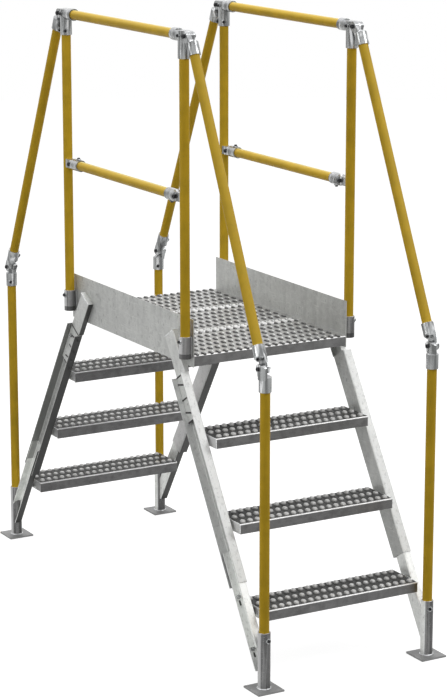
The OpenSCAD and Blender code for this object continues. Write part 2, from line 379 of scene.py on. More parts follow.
def tube_mask(sheet):
    """1 on the sleeves welded round the rail posts and foot posts, 0 on the sheet metal."""
    folded = sheet.folded()
    inside = []
    for axis in (post_axis("near", "right"), foot_axis("near", "right")):
        level = sheet.vectors("MULTIPLY", sheet.vectors("SUBTRACT", folded, axis), (1, 1, 0))
        reach = sheet.vectors("LENGTH", level, output="Value")
        inside.append(reach.below(sizes().sleeve_radius + TUBE_EDGE))
    beyond_panel = sheet.part(folded, 1).above(deck_edge() + sizes().panel_clear)
    return sheet.maths("MAXIMUM", *inside) * beyond_panel


def plate_mask(sheet):
    """1 on the base plates, 0 above them."""
    return sheet.height().below(sizes().plate_thickness + PLATE_EDGE)


def upper_half_mask(sheet):
    """1 on the upper half of a flight's channels and feet, 0 below their middle line."""
    _, square = slope_ways()
    reach = sheet.vectors("DOT_PRODUCT", sheet.folded(), square, output="Value")
    return reach.above(sizes().channel_middle)


def galvanised(sheet, level=1.0, inner=0.0):
    """Galvanised sheet: zinc spangle, rain streaks, dull patches and scratches.

    Undersides are darkened with painted shade. The insides of upper flanges get lighter painted shade,
    the lighter the more inner is.
    """
    colour = scaled(colours().galvanised, level)
    spangle = sheet.cells(85)
    clouds = sheet.noise(5, 4)
    streaks = sheet.noise(30, 4, stretch=(1, 1, 0.12))
    scratches = sheet.noise(260, 2, stretch=(0.08, 0.08, 1)).clamped(0.60, 0.70)
    marks = sheet.noise(34, 5, rough=0.7).clamped(0.57, 0.68)
    nicks = sheet.noise(150, 3, stretch=(1, 1, 0.3)).clamped(0.63, 0.70)
    frost = sheet.noise(420, 2).clamped(0.5, 0.72)
    grain = sheet.noise(900, 2)
    shade = spangle * 0.35 + clouds.clamped(0.3, 0.7) * 0.5 + streaks.clamped(0.35, 0.7) * 0.35
    # Painted shade: faces that look down are darkened, less so inside the upper flanges.
    down = (-sheet.upward()).clamped(0.25, 0.5)
    upper = upper_half_mask(sheet)
    tone = sheet.layers(
        scaled(colour, 0.78),
        (shade, scaled(colour, 1.14)),
        (marks * 0.5, scaled(colour, 0.6)),
        (scratches * 0.35, scaled(colour, 1.4)),
        (frost * 0.35, scaled(colour, 0.68)),
        (nicks * 0.5, scaled(colour, 0.3)),
        (down * (1.0 - upper) * 0.97, scaled(colour, 0.06)),
        (down * upper * (1.0 - inner), scaled(colour, 0.42)),
    )
    return {
        "Base Color": tone,
        "Metallic": down * upper * 0.55 + 0.25,
        "Specular IOR Level": 0.35,
        "Roughness": clouds * 0.14 + spangle * 0.08 + 0.36,
        "Normal": sheet.bump(spangle * 0.25 + grain * 0.4 - scratches * 0.3, 0.25, 0.0004),
    }


def welded_sheet(sheet, level=1.0, inner=0.0):
    """Galvanised sheet whose welded sleeves and base plates are a darker tube steel, the sleeves with
    painted light and shade.
    """
    values = galvanised(sheet, level, inner)
    steel = colours().tube
    right = sheet.rightward()
    stain = sheet.noise(55, 4).clamped(0.4, 0.65)
    drawn = sheet.noise(85, 2, stretch=(1, 1, 0.04)).clamped(0.42, 0.6)
    specks = sheet.noise(240, 4, rough=0.7).clamped(0.58, 0.68)
    # Painted light on the sleeves: the side that faces right is painted darker as painted shade, the side
    # that faces left lighter as a painted highlight.
    tube = sheet.layers(
        steel,
        (stain * 0.5, scaled(steel, 0.62)),
        (drawn * 0.5, scaled(steel, 3.0)),
        (specks * 0.6, scaled(steel, 3.8)),
        (right.clamped(-0.55, 0.4) * 0.6, scaled(steel, 0.35)),
        ((-right).clamped(0.80, 0.96) * 0.85, scaled(steel, 4.2)),
    )
    plate = sheet.mix(stain * 0.4, scaled(steel, 2.0), scaled(steel, 1.5))
    socket_foot = deck_height() - sizes().socket_drop
    height = sheet.height()
    shaded = height.below(socket_foot + sizes().socket_shade) * height.above(socket_foot - 0.002)
    sleeve = tube_mask(sheet)
    values["Base Color"] = sheet.layers(
        values["Base Color"],
        (sleeve, tube),
        (plate_mask(sheet), plate),
        (shaded * sleeve * 0.75, (0.03, 0.03, 0.03)),
    )
    return values


def flanged(sheet, values, share):
    """Paints the flanges of a channel brighter than its web as painted light, not where they look down,
    with flecks where the zinc is worn.
    """
    web = sheet.sideways().clamped(0.75, 0.95)
    below = (-sheet.upward()).clamped(0.3, 0.5)
    flecks = sheet.noise(70, 5, rough=0.7).clamped(0.55, 0.66)
    streaks = sheet.noise(110, 3, stretch=(1, 1, 0.25)).clamped(0.56, 0.66)
    bright = sheet.layers(
        (0.98, 0.99, 0.98),
        (flecks * 0.45, (0.55, 0.56, 0.55)),
        (streaks * 0.35, (0.50, 0.51, 0.50)),
    )
    # Painted light: faces that look neither sideways nor down are painted bright.
    values["Base Color"] = sheet.mix((1.0 - web) * (1.0 - below) * share, values["Base Color"], bright)
    return values


def foot_sheet(sheet):
    """Galvanised foot, painted paler as painted light: channel painted bright, darker sleeve and base
    plate.
    """
    bare = (1.0 - tube_mask(sheet)) * (1.0 - plate_mask(sheet))
    # Painted light: below foot_clear, where the channel lies open, the insides of its upper flanges get
    # less painted shade.
    clear = sheet.height().below(sizes().foot_clear)
    values = flanged(sheet, welded_sheet(sheet, 1.3, clear), bare * 0.8)
    values["Metallic"] = values["Metallic"] + bare * 0.3
    return values


def channel_sheet(sheet):
    """Galvanised channel of a flight: dull web and flanges painted brighter as painted light."""
    return flanged(sheet, galvanised(sheet), 0.75)


def lit_channel_sheet(sheet):
    """Galvanised channel with its web painted paler: a lit copy of the channel sheet."""
    return flanged(sheet, galvanised(sheet, 1.5), 0.75)


def hanger_sheet(sheet):
    """Galvanised hanger: sheet painted pale as painted light, its flanges painted only faintly brighter.
    """
    return flanged(sheet, galvanised(sheet, 1.22), 0.3)


def button_metal(sheet, slope, crest):
    """Pressed button: one tone on its slopes, another on its crown, with specks of wear."""
    clouds = sheet.noise(25, 4)
    spots = sheet.noise(700, 3).clamped(0.5, 0.75)
    # The crown's lighter tone is partly wear and partly painted light; callers paint the slopes with
    # shade or light.
    worn = sheet.mix(clouds.clamped(0.3, 0.7), scaled(crest, 0.75), scaled(crest, 1.25))
    crown = sheet.upward().clamped(0.80, 0.99)
    return {
        "Base Color": sheet.layers(slope, (crown, worn), (spots * 0.3, scaled(crest, 1.6))),
        "Metallic": 0.4,
        "Specular IOR Level": 0.2,
        "Roughness": clouds * 0.16 + 0.24,
        "Normal": sheet.bump(spots, 0.3, 0.0005),
    }


def step_button_metal(sheet):
    """Buttons of the steps: caps painted bright as painted light, on sheet painted dull as painted shade.
    """
    return button_metal(sheet, scaled(colours().rubbed, 1.7), scaled(colours().rubbed, 1.9))


def deck_button_metal(sheet):
    """Buttons of the deck: slopes darkened as painted shade under crowns that are lighter, partly worn
    and partly painted light, on sheet painted bright.
    """
    return button_metal(sheet, scaled(colours().tread, 0.4), scaled(colours().rubbed, 0.9))


def painted_highlight_dimple(sheet):
    """Dots and dimples between the deck's buttons, painted white as painted highlights."""
    return button_metal(sheet, (1.0, 1.0, 1.0), (1.0, 1.0, 1.0))


def hole_shade(sheet):
    """Inside of a punched hole or slot: unlit steel with a faint smear of dirt."""
    smear = sheet.noise(500, 3)
    dust = sheet.noise(90, 2)
    return {
        "Base Color": sheet.mix(smear, (0.03, 0.03, 0.03), (0.08, 0.08, 0.078)),
        "Roughness": dust * 0.2 + 0.6,
        "Normal": sheet.bump(smear, 0.3, 0.0004),
    }


def tread_metal(sheet, level_tone, gloss):
    """Walked-on steel: dull upright faces, level faces of one tone, bends painted bright and ends painted
    lighter as painted light.

    A gloss under that of the upright faces makes the level faces less metallic too.
    """
    clouds = sheet.noise(9, 4)
    spots = sheet.noise(420, 3).clamped(0.5, 0.75)
    drawn = sheet.noise(70, 3, stretch=(6, 0.4, 6))
    grime = sheet.noise(38, 4).clamped(0.42, 0.66)
    colour = colours().tread
    up = sheet.upward()
    flat = up.clamped(0.80, 0.985)
    bend = up.clamped(0.12, 0.4) * (1.0 - up.clamped(0.97, 0.9985))
    tone = sheet.layers(
        scaled(colour, 0.88),
        (clouds.clamped(0.3, 0.7), scaled(colour, 1.12)),
        (drawn.clamped(0.4, 0.7) * 0.4, scaled(colour, 1.3)),
        (flat, level_tone),
        (grime * 0.35, scaled(colour, 0.6)),
        (spots * 0.3, scaled(colour, 2.0)),
        # Painted highlight along the bends, partly standing for rubbed wear.
        (bend, colours().bend),
        # Painted light: faces that look sideways, the ends of steps and planks, are painted much lighter.
        (sheet.sideways().clamped(0.9, 0.99), scaled(colour, 4.6)),
    )
    return {
        "Base Color": tone,
        "Metallic": flat * (gloss - TREAD_GLOSS) + TREAD_GLOSS if gloss < TREAD_GLOSS else TREAD_GLOSS,
        "Specular IOR Level": gloss,
        "Roughness": clouds * 0.16 + grime * 0.15 + 0.26,
        "Normal": sheet.bump(spots * 0.5 + drawn, 0.3, 0.0005),
    }


def step_metal(sheet):
    """Steps: level faces painted dull as painted shade, a shaded copy of the deck's tread steel."""
    return tread_metal(sheet, scaled(colours().rubbed, 0.19), 0.05)


def deck_metal(sheet):
    """Deck planks: level faces painted bright as painted light, a lit copy of the steps' tread steel."""
    return tread_metal(sheet, scaled(colours().rubbed, 1.55), TREAD_GLOSS)


def rail_paint(sheet):
    """Gloss paint on pipe: orange peel, uneven coat and light scuffs, with painted light where it looks
    up.
    """
    peel = sheet.noise(420, 2)
    coat = sheet.noise(14, 3)
    runs = sheet.noise(60, 2, stretch=(1, 1, 0.1))
    scuffs = sheet.noise(150, 4, stretch=(1, 1, 0.35)).clamped(0.66, 0.74)
    colour = colours().yellow
    up = sheet.upward()
    tone = sheet.layers(
        scaled(colour, 0.90),
        (coat.clamped(0.3, 0.7), scaled(colour, 1.08)),
        (runs.clamped(0.45, 0.7) * 0.35, scaled(colour, 0.84)),
        (scuffs * 0.35, (0.30, 0.21, 0.08)),
        # Painted light: brighter orange on the faces that look up, and a pale painted highlight along the
        # very top.
        (up.clamped(0.05, 0.8) * 0.7, colours().sunlit),
        (up.clamped(0.86, 0.99) * 0.55, colours().painted_top_highlight),
    )
    return {
        "Base Color": tone,
        "Roughness": coat * 0.12 + scuffs * 0.2 + 0.34,
        "Specular IOR Level": 0.1,
        "Normal": sheet.bump(peel * 0.7 + scuffs * 0.3, 0.12, 0.0005),
    }


def cast_zinc(sheet):
    """Hot-dipped cast fitting: fine skin, dull patches, and painted reflections in upright bands with
    painted glints.
    """
    pebble = sheet.noise(520, 3)
    dull = sheet.noise(40, 3).clamped(0.4, 0.7)
    bands = sheet.noise(58, 1, stretch=(1, 1, 0.1)).clamped(0.36, 0.62)
    glints = sheet.noise(75, 1, stretch=(1, 1, 0.12)).clamped(0.56, 0.72)
    above = sheet.upward().clamped(0.2, 0.8)
    colour = colours().fitting
    # Painted reflections: upright dark bands and bright glints, and faces that look up painted lighter.
    tone = sheet.layers(
        scaled(colour, 1.25),
        (bands, scaled(colour, 0.45)),
        (dull * 0.3, scaled(colour, 0.7)),
        (glints * 0.75, (0.92, 0.93, 0.94)),
        (above * 0.5, (0.85, 0.86, 0.88)),
    )
    return {
        "Base Color": tone,
        "Metallic": 0.7,
        "Roughness": dull * 0.14 + pebble * 0.08 + 0.16,
        "Normal": sheet.bump(pebble, 0.15, 0.0004),
    }


def black_oxide(sheet):
    """Blackened screw steel with an oily bloom and rubbed specks."""
    bloom = sheet.noise(300, 3)
    specks = sheet.noise(1400, 2).clamped(0.62, 0.75)
    colour = colours().screw
    tone = sheet.layers(
        colour, (bloom.clamped(0.35, 0.7), scaled(colour, 2.2)), (specks * 0.3, (0.16, 0.16, 0.16))
    )
    return {
        "Base Color": tone,
        "Metallic": 0.3,
        "Roughness": bloom * 0.2 + 0.42,
        "Normal": sheet.bump(bloom + specks, 0.3, 0.0003),
    }


def weld_metal(sheet):
    """Weld bead under zinc: pale metal, partly a painted highlight, dulled in random sooty patches."""
    ripple = sheet.noise(500, 3)
    soot = sheet.noise(110, 3).clamped(0.45, 0.7)
    return {
        "Base Color": sheet.mix(soot, scaled(colours().weld, 1.1), scaled(colours().weld, 0.6)),
        "Metallic": 0.8,
        "Roughness": ripple * 0.2 + soot * 0.15 + 0.2,
        "Normal": sheet.bump(ripple, 0.5, 0.0008),
    }


# Finish of each CAD node by the start of its name; the first that fits counts.
NODE_FINISHES = (
    ("side_panel", welded_sheet),
    ("hanger", hanger_sheet),
    ("stringer_far_right", lit_channel_sheet),
    ("stringer", channel_sheet),
    ("foot_post", rail_paint),
    ("foot", foot_sheet),
    ("deck_plank", deck_metal),
    ("step", step_metal),
    ("rail_post", rail_paint),
    ("top_rail", rail_paint),
    ("mid_rail", rail_paint),
    ("sloped_rail", rail_paint),
    ("mid_fittings", cast_zinc),
    ("corner", cast_zinc),
    ("elbow", cast_zinc),
)


# --- Pieces -----------------------------------------------------------------------------------


class Repeat(Sheet):
    """A Geometry Nodes tree whose modifier places one shape on the points of a carrier mesh."""

    def __init__(self, name):
        super().__init__(bpy.data.node_groups.new(name, "GeometryNodeTree"))
        self.values = {}
        self.tree.interface.new_socket("Geometry", in_out="INPUT", socket_type="NodeSocketGeometry")
        self.tree.interface.new_socket("Geometry", in_out="OUTPUT", socket_type="NodeSocketGeometry")
        self.inside = self.add("NodeGroupInput")

    def size(self, label, value):
        """Named input of the tree, a length, a count or a material by the value's kind."""
        kinds = {float: "NodeSocketFloat", int: "NodeSocketInt", bpy.types.Material: "NodeSocketMaterial"}
        kind = kinds[type(value)]
        socket = self.tree.interface.new_socket(label, in_out="INPUT", socket_type=kind)
        self.values[socket.identifier] = value
        return Value(self, self.inside.outputs[label])

    def carrier(self):
        return Value(self, self.inside.outputs[0])

    def drum(self, vertices, segments):
        """Upright cylinder, 1 across and 1 high, and the three coordinates of its points."""
        values = {"Vertices": vertices, "Side Segments": segments, "Radius": 0.5, "Depth": 1.0}
        blank = self.node("GeometryNodeMeshCylinder", {"fill_type": "NGON"}, values)
        place = self.node("GeometryNodeInputPosition")
        return blank, [self.part(place, axis) for axis in range(3)]

    def shaped(self, blank, x, y, z):
        """The blank with its points at new coordinates."""
        place = self.node("ShaderNodeCombineXYZ", None, {0: x, 1: y, 2: z})
        return self.node("GeometryNodeSetPosition", None, {"Geometry": blank, "Position": place})

    def aligned(self, axis, attribute, pivot="AUTO", values=None):
        """Rotation that turns an axis of the shape towards a vector attribute of the carrier."""
        settings = {"data_type": "FLOAT_VECTOR"}
        way = self.node("GeometryNodeInputNamedAttribute", settings, {"Name": attribute})
        settings = {"axis": axis, "pivot_axis": pivot}
        return self.node("FunctionNodeAlignRotationToVector", settings, {"Vector": way, **(values or {})})

    def stand(self, shape, rotation, material):
        """Ends the tree with the shape on every point of the carrier."""
        values = {"Points": self.carrier(), "Instance": shape, "Rotation": rotation}
        self.close(self.node("GeometryNodeInstanceOnPoints", None, values), material)

    def close(self, shape, material):
        """Ends the tree: instances made real, with their material."""
        real = self.node("GeometryNodeRealizeInstances", None, {"Geometry": shape})
        done = self.node("GeometryNodeSetMaterial", None, {"Geometry": real, "Material": material})
        self.add("NodeGroupOutput", None, {0: done})

    def piece(self, name, carrier):
        """Runs the tree on a carrier mesh and keeps the result as a plain mesh object."""
        source = bpy.data.objects.new(name, carrier)
        bpy.context.scene.collection.objects.link(source)
        modifier = source.modifiers.new(self.tree.name, "NODES")
        modifier.node_group = self.tree
        for identifier, value in self.values.items():
            modifier[identifier] = value
        graph = bpy.context.evaluated_depsgraph_get()
        result = bpy.data.meshes.new_from_object(source.evaluated_get(graph), depsgraph=graph)
        source.modifiers.clear()
        source.data = result
        if not result.polygons:
            raise RuntimeError(f"{name} came out empty")
        return source


def kept(piece):
    """Rides a finished piece on the platform."""
    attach(piece, "root")


def placed(repeat, name, slot, places, ways_out, lies=()):
    """Keeps a piece with the tree's shape at each place, turned to its way_out and its lie."""
    mesh = bpy.data.meshes.new(f"{name}_marks")
    mesh.from_pydata([tuple(place) for place in places], [], [])
    for label, vectors in (("way_out", ways_out), ("lie", lies)):
        attribute = mesh.attributes.new(label, "FLOAT_VECTOR", "POINT")
        for entry, way in zip(attribute.data, vectors):
            entry.vector = way
    kept(repeat.piece(name, mesh))


def button_field(name, build, grid, shape, places, headings):
    """Rows and columns of crowned oval bosses at each place, the rows square to its heading.

    The grid is the number of rows, their pitch and the number of columns.
    """
    repeat = Repeat(name)
    rows, row_pitch, columns = [
        repeat.size(label, value) for label, value in zip(("Rows", "Row pitch", "Columns"), grid)
    ]
    column_pitch = repeat.size("Column pitch", sizes().button_pitch)
    labels = ("Length", "Width", "Height", "Crown", "Taper")
    reach, width, height, crown, thinned = [
        repeat.size(label, value) for label, value in zip(labels, shape)
    ]
    sunk = repeat.size("Root below the sheet", sizes().sheet_root)
    material = repeat.size("Material", finish(build))
    values = {"Vertices X": rows, "Vertices Y": columns}
    values["Size X"] = (rows - 1) * row_pitch
    values["Size Y"] = (columns - 1) * column_pitch
    points = repeat.node("GeometryNodeMeshGrid", None, values)
    blank, (x, y, z) = repeat.drum(12, 3)
    rise = z + 0.5
    taper = 1.0 - repeat.maths("POWER", rise, crown) * thinned
    button = repeat.shaped(blank, x * taper * reach, y * taper * width, rise * (height + sunk) - sunk)
    field = repeat.node("GeometryNodeInstanceOnPoints", None, {"Points": points, "Instance": button})
    repeat.stand(field, repeat.aligned("X", "way_out"), material)
    placed(repeat, name, "tread_steel", places, headings)


def heads(name, build, slot, shape, places, ways_out):
    """Round or many-sided heads with a socket sunk in their faces.

    The shape is a head's radius, height, socket's share of the face and number of sides.
    """
    repeat = Repeat(name)
    labels = ("Radius", "Height", "Socket share of the face", "Sides")
    radius, height, socket, sides = [repeat.size(label, value) for label, value in zip(labels, shape)]
    material = repeat.size("Material", finish(build))
    values = {"Vertices": sides, "Side Segments": 1, "Radius": radius, "Depth": height}
    drum = repeat.add("GeometryNodeMeshCylinder", {"fill_type": "NGON"}, values)
    lift = repeat.node("ShaderNodeCombineXYZ", None, {2: height * 0.5})
    values = {"Geometry": Value(repeat, drum.outputs["Mesh"]), "Translation": lift}
    head, top = repeat.node("GeometryNodeTransform", None, values), Value(repeat, drum.outputs["Top"])
    # A chamfer, then the rim of the socket, then its floor.
    for rise, share in ((0.18, 0.86), (0.0, socket), (-0.7, 1.0)):
        values = {"Mesh": head, "Selection": top, "Offset Scale": height * rise}
        grown = repeat.add("GeometryNodeExtrudeMesh", {"mode": "FACES"}, values)
        head, top = [Value(repeat, grown.outputs[label]) for label in ("Mesh", "Top")]
        values = {"Geometry": head, "Selection": top, "Scale": share}
        head = repeat.node("GeometryNodeScaleElements", {"domain": "FACE"}, values)
    repeat.stand(head, repeat.aligned("Z", "way_out"), material)
    placed(repeat, name, slot, places, ways_out)


def slots(name, span, marks):
    """Dark round-ended slots lying across way_out, their length along lie."""
    repeat = Repeat(name)
    span = repeat.size("Length", span)
    width = repeat.size("Width", sizes().slot_width)
    depth = repeat.size("Shade", sizes().slot_shade)
    material = repeat.size("Material", finish(hole_shade))
    blank, (x, y, z) = repeat.drum(16, 1)
    # The two points in the middle of the drum go to one end with their neighbours.
    end = repeat.maths("SIGN", x + 0.0001) * 0.5
    slot = repeat.shaped(blank, x * width + end * (span - width), y * width, z * depth)
    facing = repeat.aligned("Z", "way_out", "X", {"Rotation": repeat.aligned("X", "lie")})
    repeat.stand(slot, facing, material)
    placed(repeat, name, "galvanised_steel", *zip(*marks))


def beads(name, radius, lines):
    """Round weld beads; each line is its points and whether it closes on itself."""
    repeat = Repeat(name)
    radius = repeat.size("Bead radius", radius)
    material = repeat.size("Material", finish(weld_metal))
    path = repeat.node("GeometryNodeMeshToCurve", None, {"Mesh": repeat.carrier()})
    values = {"Resolution": 6, "Radius": radius}
    ring = repeat.node("GeometryNodeCurvePrimitiveCircle", {"mode": "RADIUS"}, values)
    values = {"Curve": path, "Profile Curve": ring, "Fill Caps": True}
    repeat.close(repeat.node("GeometryNodeCurveToMesh", None, values), material)
    mesh = bpy.data.meshes.new(f"{name}_lines")
    points, edges = [], []
    for line, closed in lines:
        first = len(points)
        points += [tuple(point) for point in line]
        edges += [(first + index, first + index + 1) for index in range(len(line) - 1)]
        if closed:
            edges.append((len(points) - 1, first))
    mesh.from_pydata(points, edges, [])
    kept(repeat.piece(name, mesh))


def ring_line(centre, radius, corners=28):
    """Level ring of points."""
    turns = [2 * math.pi * index / corners for index in range(corners)]
    return [centre + Vector((math.cos(turn), math.sin(turn), 0)) * radius for turn in turns], True


def skin(shape, rings):
    """Joins rings of four corners, one after the other, into a closed solid."""
    rings = [[shape.verts.new(corner) for corner in ring] for ring in rings]
    for first, second in zip(rings, rings[1:]):
        for index in range(4):
            following = (index + 1) % 4
            shape.faces.new((first[index], second[index], second[following], first[following]))
    shape.faces.new(rings[0])
    shape.faces.new(rings[-1][::-1])


def skinned(name, build, solids, softened):
    """Keeps a piece made of skinned solids, its edges softened by that width."""
    shape = bmesh.new()
    for rings in solids:
        skin(shape, rings)
    bmesh.ops.recalc_face_normals(shape, faces=shape.faces)
    mesh = bpy.data.meshes.new(name)
    shape.to_mesh(mesh)
    shape.free()
    mesh.materials.append(finish(build))
    piece = bpy.data.objects.new(name, mesh)
    bpy.context.scene.collection.objects.link(piece)
    bevel = piece.modifiers.new("Softened edges", "BEVEL")
    bevel.width = softened
    bevel.segments = 2
    kept(piece)


# --- Operators --------------------------------------------------------------------------------


class PlatformFinishes(bpy.types.Operator):
    """Give every piece of the frame its finish"""

    bl_idname = "platform.finishes"
    bl_label = "Finishes"

    def execute(self, context):
        for name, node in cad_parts.items():
            wanted = next(build for start, build in NODE_FINISHES if name.startswith(start))
            if not node.data.materials:
                node.data.materials.append(None)
            for index in range(len(node.data.materials)):
                node.data.materials[index] = finish(wanted)
        return {"FINISHED"}


class PlatformStepButtons(bpy.types.Operator):
    """Stand rows of anti-slip buttons on the six steps, with a punched hole between each four"""

    bl_idname = "platform.step_buttons"
    bl_label = "Step buttons"

    def execute(self, context):
        size = sizes()
        reach = (size.step_rows - 1) * size.step_row_pitch / 2
        places, headings = [], []
        for end in ENDS:
            out, _ = ways(end, "right")
            for name in STEP_NAMES:
                low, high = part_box(f"step_{end}_{name}")
                nosing = high.x if out > 0 else low.x
                places.append(Vector((nosing - out * (size.step_first_row + reach), 0, high.z)))
                headings.append(Vector((out, 0, 0)))
        grid = (size.step_rows, size.step_row_pitch, size.button_columns)
        shape = (*size.step_button, *STEP_CROWN)
        button_field("step_buttons", step_button_metal, grid, shape, places, headings)
        grid = (size.step_rows - 1, size.step_row_pitch, size.button_columns - 1)
        button_field("step_holes", hole_shade, grid, (*size.hole, *HOLE_CROWN), places, headings)
        return {"FINISHED"}


class PlatformDeckButtons(bpy.types.Operator):
    """Stand rows of anti-slip buttons on the deck planks, with dots and dimples between painted white as
    painted highlights
    """

    bl_idname = "platform.deck_buttons"
    bl_label = "Deck buttons"

    def execute(self, context):
        size = sizes()
        top = deck_height()
        places = [Vector((middle(f"deck_plank_{name}").x, -size.deck_shift, top)) for name in PLANK_NAMES]
        headings = [(1, 0, 0)] * len(places)
        grid = (size.deck_rows, size.deck_row_pitch, size.button_columns)
        shape = (*size.deck_button, *DECK_CROWN)
        button_field("deck_buttons", deck_button_metal, grid, shape, places, headings)
        grid = (size.deck_rows, size.deck_row_pitch, size.button_columns - 1)
        dots = [place - Vector((size.dot_back, 0, 0)) for place in places]
        button_field("deck_dots", painted_highlight_dimple, grid, (*size.dot, *DOT_CROWN), dots, headings)
        seam = (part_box("deck_plank_near")[0].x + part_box("deck_plank_middle")[1].x) / 2
        places = [Vector((way * seam, 0, top)) for way in (1, -1)]
        grid = (2, size.dimple_pitch, size.button_columns - 1)
        button_field("seam_dimples", painted_highlight_dimple, grid, (*size.dimple, *DOT_CROWN), places, headings)
        return {"FINISHED"}


def set_screws():
    """Places and outward directions of the set screws that lock pipes in their sleeves."""
    size = sizes()
    found = []
    for end, side in QUARTERS:
        out, across = ways(end, side)
        post, foot, pin = post_axis(end, side), foot_axis(end, side), elbow_pivot(end, side)
        way = rail_direction(end, side)
        slanted = Vector((SLANTED_SCREW[0] * out, SLANTED_SCREW[1] * out, 0)).normalized()
        square = (slanted - way * slanted.dot(way)).normalized()
        beside = NEAR_ELBOW_SCREW if end == "near" else FAR_ELBOW_SCREW
        rise = size.near_screw_rise if end == "near" else size.far_screw_rise
        ahead = Vector((FOOT_SCREW[0] * out, FOOT_SCREW[1] * across, 0)).normalized()
        found += [
            (post + risen(rail_height() - size.post_screw_drop), slanted),
            (post + risen(rail_height()), LEFT),
            (rail_start(end, side) + way * size.swivel_screw_reach, square),
            (pin - way * rise, beside),
            (foot + risen(pin.z - size.elbow_screw_drop), slanted),
            (post + risen(deck_height() + size.socket_screw_rise), Vector((0, across, 0))),
            (foot + risen(size.foot_screw_height), ahead),
        ]
    for side in SIDES:
        rail = middle(f"mid_rail_{side}")
        for out in (1, -1):
            found.append((rail + Vector((out * size.mid_screw_reach, 0, 0)), Vector((0, 0, -out))))
    return [(place + way * size.sleeve_radius, way) for place, way in found]


class PlatformSetScrews(bpy.types.Operator):
    """Set a black socket screw into every sleeve that grips a pipe"""

    bl_idname = "platform.set_screws"
    bl_label = "Set screws"

    def execute(self, context):
        size = sizes()
        root = size.screw_boss_height
        boss = (size.screw_radius * BOSS_SPREAD, root * 2, BOSS_SOCKET, 16)
        screw = (size.screw_radius, root * 0.5 + size.screw_proud, SCREW_SOCKET, 12)
        found = set_screws()
        directions = [way for _, way in found]
        for name, build, shape, sunk in (
            ("screw_bosses", cast_zinc, boss, root),
            ("set_screws", black_oxide, screw, root * 0.5),
        ):
            places = [place - way * sunk for place, way in found]
            heads(name, build, "fitting_steel", shape, places, directions)
        return {"FINISHED"}


class PlatformPinBolts(bpy.types.Operator):
    """Put a black head on both ends of every pin in the swivels and mid-rail fittings"""

    bl_idname = "platform.pin_bolts"
    bl_label = "Pin bolts"

    def execute(self, context):
        size = sizes()
        places, directions = [], []
        for end, side in QUARTERS:
            out, _ = ways(end, side)
            eye = post_axis(end, side) + Vector((-out * size.eye_back, 0, middle("mid_rail_left").z))
            for centre, reach in (
                (corner_pivot(end, side), size.lug_reach),
                (elbow_pivot(end, side), size.cheek_reach),
                (eye, size.knuckle_reach),
            ):
                for way in (-LEFT, LEFT):
                    places.append(centre + way * reach)
                    directions.append(way)
        shape = (size.pin_head_radius, size.pin_head_height, BOLT_SOCKET, 12)
        heads("pin_bolts", black_oxide, "fitting_steel", shape, places, directions)
        return {"FINISHED"}


def cheek(pin, sleeve_way, side_way, reach, taper):
    """Rings of a swivel's half-round cheek, from its sleeve up round the pin, on one side of it."""
    radius = sizes().sleeve_radius - CHEEK_SUNK
    square = sleeve_way.cross(side_way).normalized()
    rings = []
    for index in range(-6, 7):
        turn = math.radians(14 * index)
        swing, bulge = math.sin(turn) * radius, math.cos(turn) * radius
        inner_pin = square * swing * taper - sleeve_way * bulge * CHEEK_ROUND
        outer_pin = inner_pin + side_way * min(bulge, sizes().lug_reach)
        foot = square * swing + sleeve_way * reach
        rings.append([pin + corner for corner in (foot + side_way * bulge, outer_pin, inner_pin, foot)])
    return rings


class PlatformSwivelCheeks(bpy.types.Operator):
    """Blend the lugs of every elbow into its two sleeves with half-round cheeks"""

    bl_idname = "platform.swivel_cheeks"
    bl_label = "Swivel cheeks"

    def execute(self, context):
        size = sizes()
        solids = []
        for end, side in QUARTERS:
            out, _ = ways(end, side)
            pin = elbow_pivot(end, side)
            under = Vector((foot_axis(end, side).x, pin.y, pin.z))
            solids.append(cheek(under, risen(-1), LEFT * out, size.cheek_drop, taper=0.95))
            up_rail = -rail_direction(end, side)
            solids.append(cheek(pin, up_rail, LEFT * -out, size.cheek_rise, taper=0.8))
        skinned("swivel_cheeks", cast_zinc, solids, softened=0.0012)
        return {"FINISHED"}


class PlatformBolts(bpy.types.Operator):
    """Bolt the far hangers to their stringers and the feet into the channels above them"""

    bl_idname = "platform.bolts"
    bl_label = "Bolts"

    def execute(self, context):
        size = sizes()
        _, square = slope_ways()
        hangers = quarter_points(HANGER_BOLTS, hanger_web())
        found = [(place, (0, across, 0)) for place, out, across in hangers if out < 0]
        feet = quarter_points(FOOT_BOLTS, size.foot_flange)
        found += [(place, turned(square, out)) for place, out, _ in feet]
        shape = (size.bolt_radius, size.bolt_height, BOLT_SOCKET, 6)
        heads("bolt_heads", cast_zinc, "galvanised_steel", shape, *zip(*found))
        return {"FINISHED"}


class PlatformSlots(bpy.types.Operator):
    """Mark the adjusting slots across the hangers and along the feet"""

    bl_idname = "platform.slots"
    bl_label = "Slots"

    def execute(self, context):
        size = sizes()
        fall, square = slope_ways()
        marks = [
            (place, (0, across, 0), turned(lie, out))
            for points, lie in ((SQUARE_SLOTS, square), (LEVEL_SLOTS, LEVEL_SLOT_WAY))
            for place, out, across in quarter_points(points, hanger_web())
        ]
        slots("hanger_slots", size.hanger_slot, marks)
        feet = quarter_points(FOOT_SLOTS, size.foot_flange)
        marks = [(place, turned(square, out), turned(fall, out)) for place, out, _ in feet]
        slots("foot_slots", size.foot_slot, marks)
        return {"FINISHED"}


